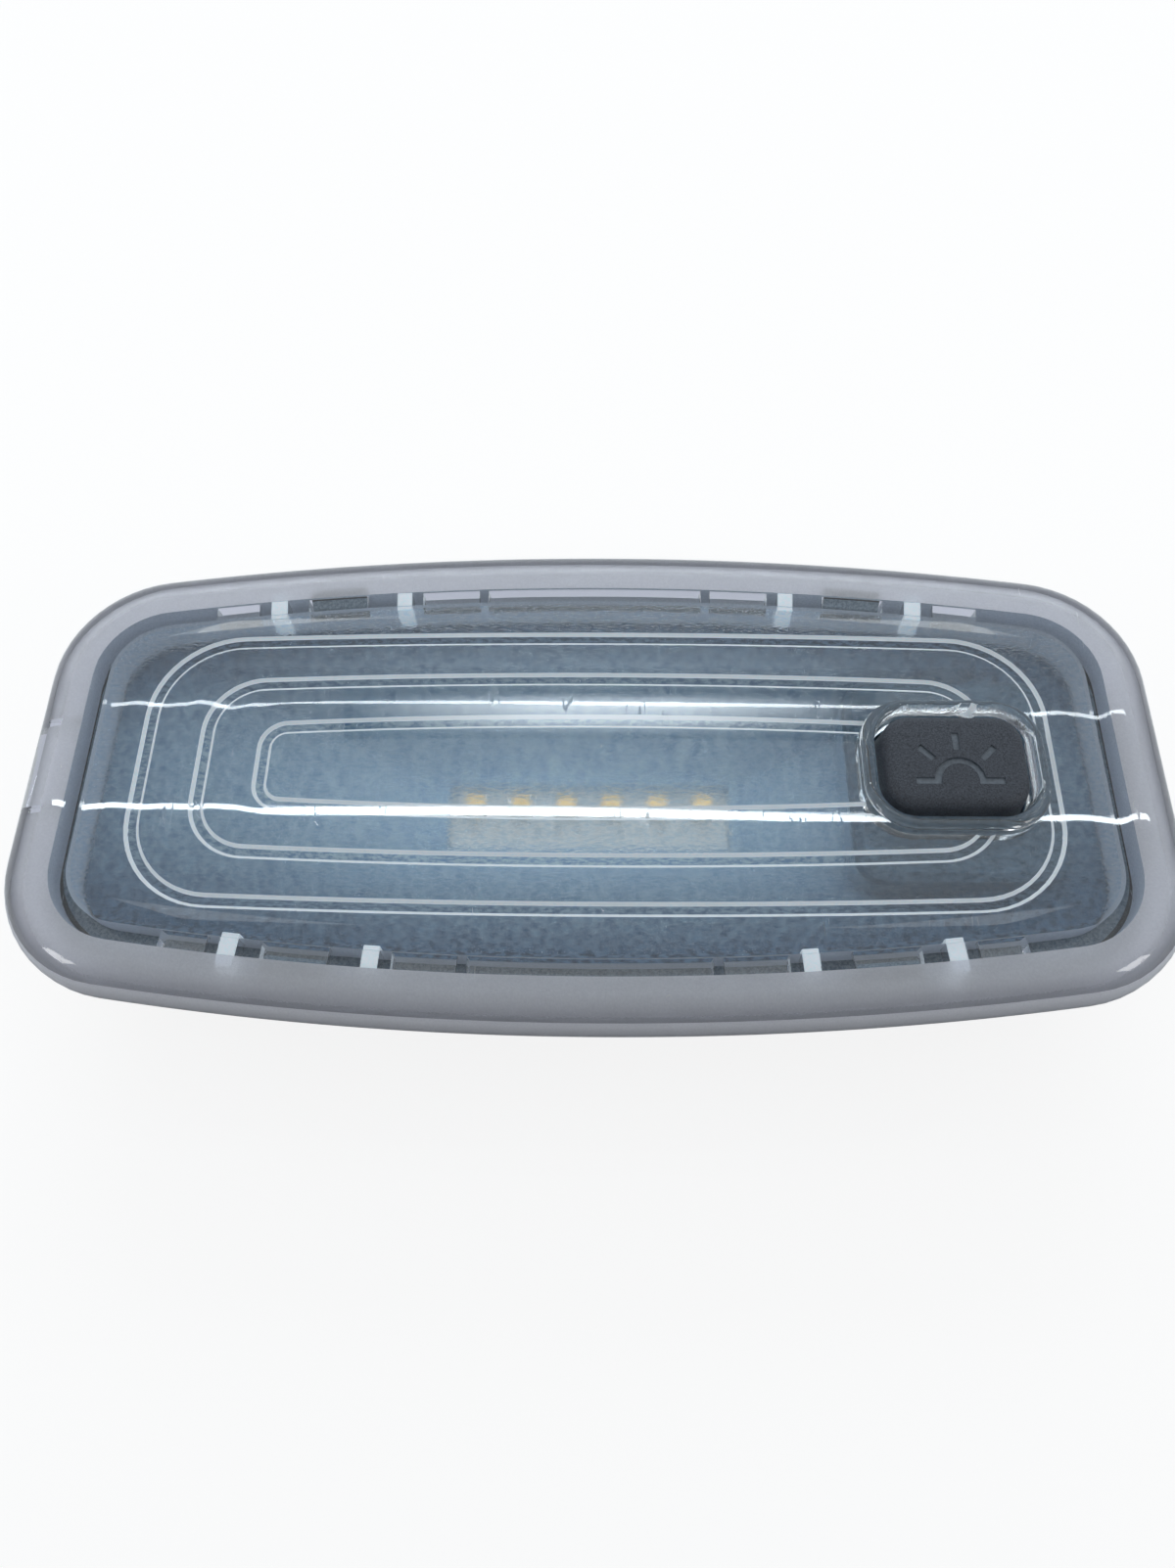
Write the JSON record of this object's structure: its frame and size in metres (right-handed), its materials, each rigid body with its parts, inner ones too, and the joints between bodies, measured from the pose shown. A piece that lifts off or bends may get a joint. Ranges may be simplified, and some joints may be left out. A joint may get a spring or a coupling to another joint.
{
  "type": "trunk light",
  "caption": "Oblong clip-in trunk light with a clear ribbed lens, a frosted rolled rim, a row of lamps on a board and a push button that works a switch.",
  "frame": {"origin": "middle of the flat back of the housing, under the middle of the lens", "axes": "+X along the lamp towards the button, +Z out of the lens front"},
  "size_m": [0.16, 0.0736, 0.0298],
  "materials": {
    "clear_lens": "clear moulded, glossy front, frosted rim",
    "dark_housing": "dark moulded, fine grain",
    "dark_tray": "dark blue-grey moulded, fine grain",
    "button_black": "charcoal, fine spark grain",
    "board_white": "white solder mask",
    "switch_black": "moulded",
    "switch_stem": "moulded, natural",
    "spring_steel": "spring strip",
    "chip_black": "moulded",
    "led_white": "white package",
    "led_yellow": "silicone with phosphor",
    "pin_tin": "tin plated",
    "can_metal": "drawn can"
  },
  "bodies": {
    "lamp": {"lens": "clear_lens", "housing": "dark_housing", "light_tray": "dark_tray", "circuit_board": "board_white", "switch_body": "switch_black", "connector_header": "dark_housing", "retaining_spring": "spring_steel", "driver_chip": "chip_black", "diode": "chip_black", "led_1": "led_white", "led_2": "led_white", "led_3": "led_white", "led_4": "led_white", "led_5": "led_white", "led_6": "led_white", "led_phosphor_1": "led_yellow", "led_phosphor_2": "led_yellow", "led_phosphor_3": "led_yellow", "led_phosphor_4": "led_yellow", "led_phosphor_5": "led_yellow", "led_phosphor_6": "led_yellow", "connector_pin_1": "pin_tin", "connector_pin_2": "pin_tin", "connector_pin_3": "pin_tin", "capacitor_1": "can_metal", "capacitor_2": "can_metal", "resistor_1": "chip_black", "resistor_2": "chip_black", "resistor_3": "chip_black"},
    "button": {"push_button": "button_black"},
    "plunger": {"switch_plunger": "switch_stem"}
  },
  "joints": [
    {"name": "button_press", "type": "slide", "parent": "lamp", "child": "button", "axis": [0, 0, -1], "range_m": [0, 0.0012], "stiffness_N_per_m": 800, "springref_m": -0.001},
    {"name": "plunger_press", "type": "slide", "parent": "lamp", "child": "plunger", "axis": [0, 0, -1], "range_m": [0, 0.0012], "stiffness_N_per_m": 400, "springref_m": -0.001}
  ],
  "couplings": [
    {"joint": "plunger_press", "follows": "button_press", "ratio": 1}
  ]
}
